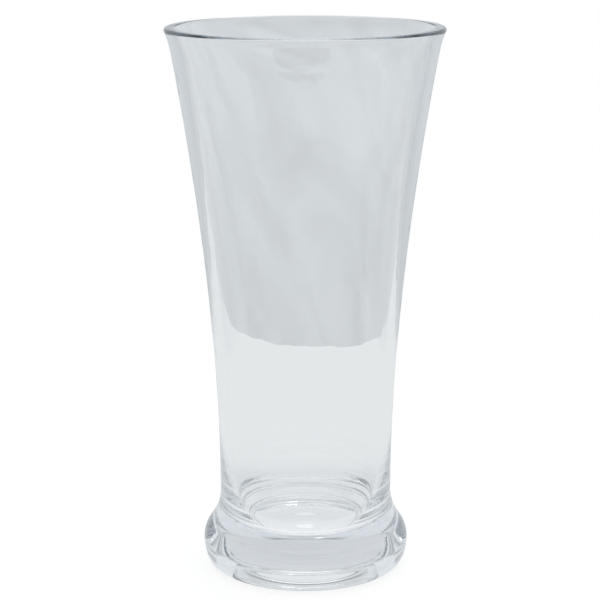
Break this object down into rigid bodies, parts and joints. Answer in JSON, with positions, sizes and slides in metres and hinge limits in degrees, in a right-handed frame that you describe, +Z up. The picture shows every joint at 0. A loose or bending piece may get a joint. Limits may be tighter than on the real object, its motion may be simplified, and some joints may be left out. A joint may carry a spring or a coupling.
{
  "type": "footed beer tumbler",
  "caption": "Tall clear tumbler: a flared beaker with a rounded lip on a thick turned-out foot that is relieved underneath.",
  "frame": {"origin": "centre of the base, on the plane that the foot's bearing ring rests on", "axes": "+Z up along the tumbler's axis to the mouth; X and Y are level, and either may face the viewer because the tumbler is round"},
  "size_m": [0.0852, 0.0852, 0.17],
  "materials": {
    "clear_polycarbonate": "clear, polished"
  },
  "bodies": {
    "root": {"tumbler": "clear_polycarbonate"}
  },
  "joints": []
}
